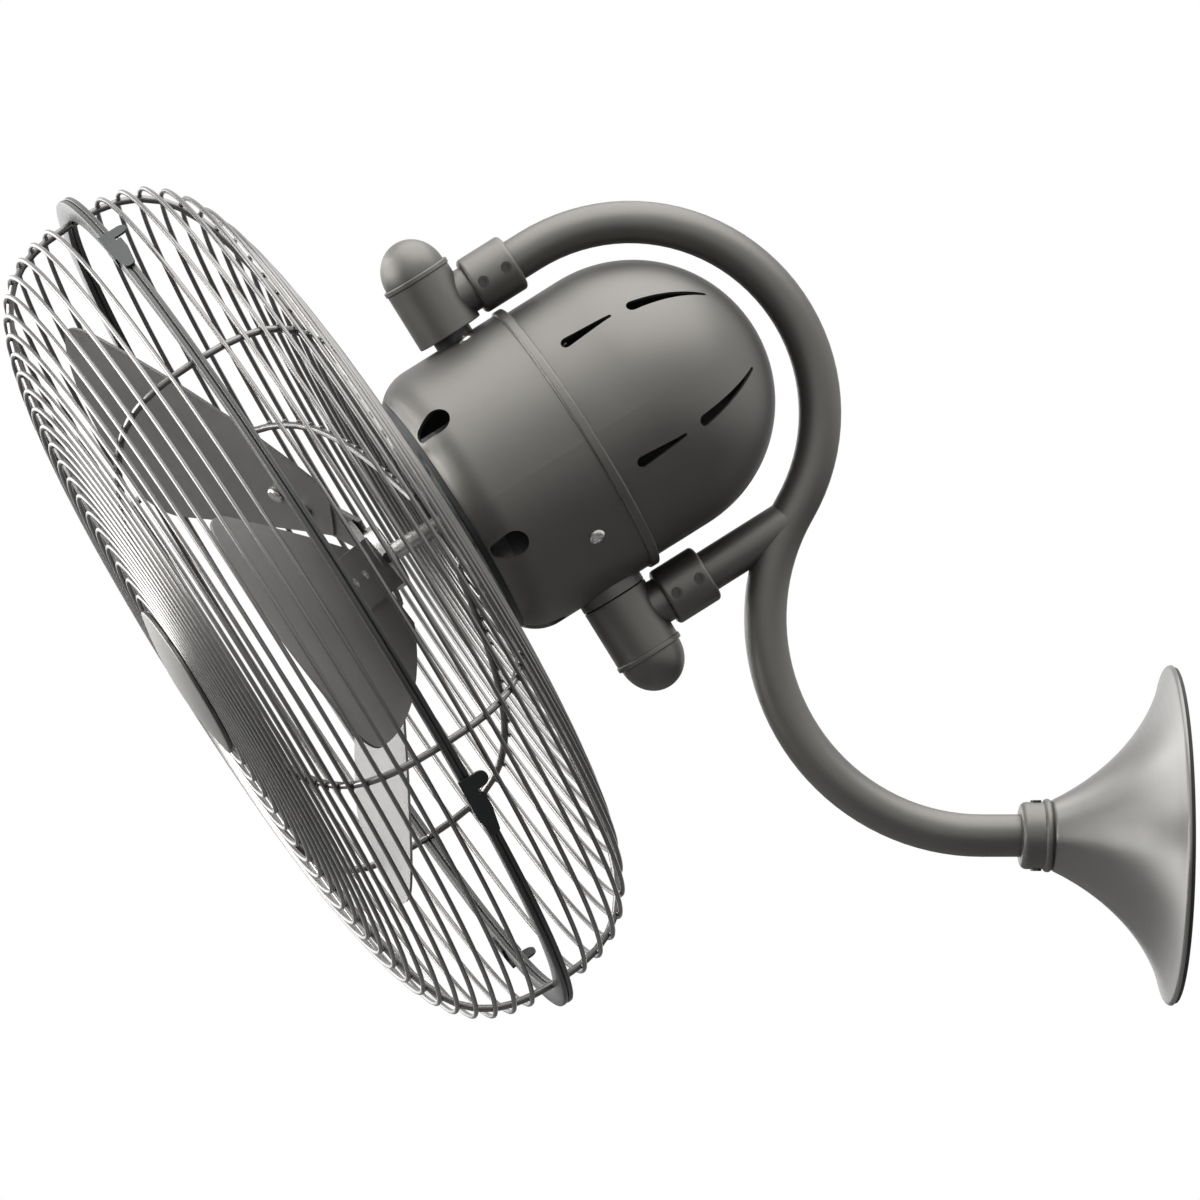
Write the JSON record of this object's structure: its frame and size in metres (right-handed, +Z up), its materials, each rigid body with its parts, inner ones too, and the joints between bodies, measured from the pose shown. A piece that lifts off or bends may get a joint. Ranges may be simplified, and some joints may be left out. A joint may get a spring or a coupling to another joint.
{
  "type": "wall mounted fan",
  "caption": "Oscillating cage fan on a bent tube arm with a trumpet-shaped wall canopy; domed motor housing between two pivot knuckles, round wire guard with sheet metal blades.",
  "frame": {"origin": "middle of the mounting plate's back face, on the wall plane", "axes": "+Z up, +Y into the wall, the fan stands out towards -Y, +X to the right seen from inside the room looking at the wall"},
  "size_m": [0.4215, 0.5245, 0.3738],
  "materials": {
    "pewter_metal": "satin pewter plating with a fine brushed grain",
    "pewter_wire": "satin pewter plated steel wire",
    "pewter_blade": "satin pewter paint on sheet steel",
    "black_metal": "satin black paint",
    "black_nylon": "moulded",
    "bright_steel": "zinc plated",
    "lamination_steel": "punched laminations",
    "cast_aluminium": "die cast",
    "copper_winding": "enamelled copper wire, varnished",
    "sintered_bronze": "oil filled sintered bronze",
    "foam_rubber": "closed cell foam"
  },
  "bodies": {
    "mount": {"wall_gasket": "foam_rubber", "mounting_plate": "bright_steel", "canopy": "pewter_metal", "collar": "pewter_metal", "collar_screws": "black_metal", "arm_tube": "pewter_metal", "arm_branch": "pewter_metal", "upper_coupler": "pewter_metal", "lower_coupler": "pewter_metal", "coupler_screws": "black_metal", "upper_knuckle": "pewter_metal", "lower_knuckle": "pewter_metal", "upper_cap": "pewter_metal", "lower_cap": "pewter_metal", "upper_pivot_pin": "bright_steel", "lower_pivot_pin": "bright_steel", "slotted_lever": "bright_steel"},
    "head": {"front_shell": "pewter_metal", "rear_shell": "pewter_metal", "front_plate": "black_metal", "shell_screws": "bright_steel", "pivot_ring": "cast_aluminium", "upper_bush": "black_nylon", "lower_bush": "black_nylon", "stator_core": "lamination_steel", "stator_windings": "copper_winding", "front_end_bell": "cast_aluminium", "rear_end_bell": "cast_aluminium", "bearings": "sintered_bronze", "motor_bolts": "bright_steel", "run_capacitor": "black_nylon", "sweep_motor": "bright_steel", "rear_guard": "pewter_wire", "front_guard": "pewter_wire", "rim_band": "foam_rubber", "guard_clips": "bright_steel", "guard_badge": "pewter_metal", "rear_guard_plate": "black_metal", "guard_screws": "bright_steel"},
    "crank": {"sweep_crank": "bright_steel"},
    "rotor": {"motor_shaft": "bright_steel", "rotor_core": "lamination_steel", "blade_hub": "black_metal", "hub_screw": "black_metal", "blade_spider": "pewter_metal", "blade_rivets": "bright_steel", "blade_1": "pewter_blade", "blade_2": "pewter_blade", "blade_3": "pewter_blade"}
  },
  "joints": [
    {"name": "head_sweep", "type": "hinge", "parent": "mount", "child": "head", "pos_m": [0, -0.288, 0.165], "axis": [0, -0.5299, 0.848], "range_deg": [-45, 45]},
    {"name": "crank_turn", "type": "hinge", "parent": "head", "child": "crank", "pos_m": [0, -0.27952, 0.1703], "axis": [0, -0.5299, 0.848], "range_deg": [-90, 90]},
    {"name": "rotor_spin", "type": "hinge", "parent": "head", "child": "rotor", "pos_m": [0, -0.288, 0.165], "axis": [0, -0.848, -0.5299], "continuous": true}
  ],
  "couplings": [
    {"joint": "crank_turn", "follows": "head_sweep", "ratio": -2}
  ]
}
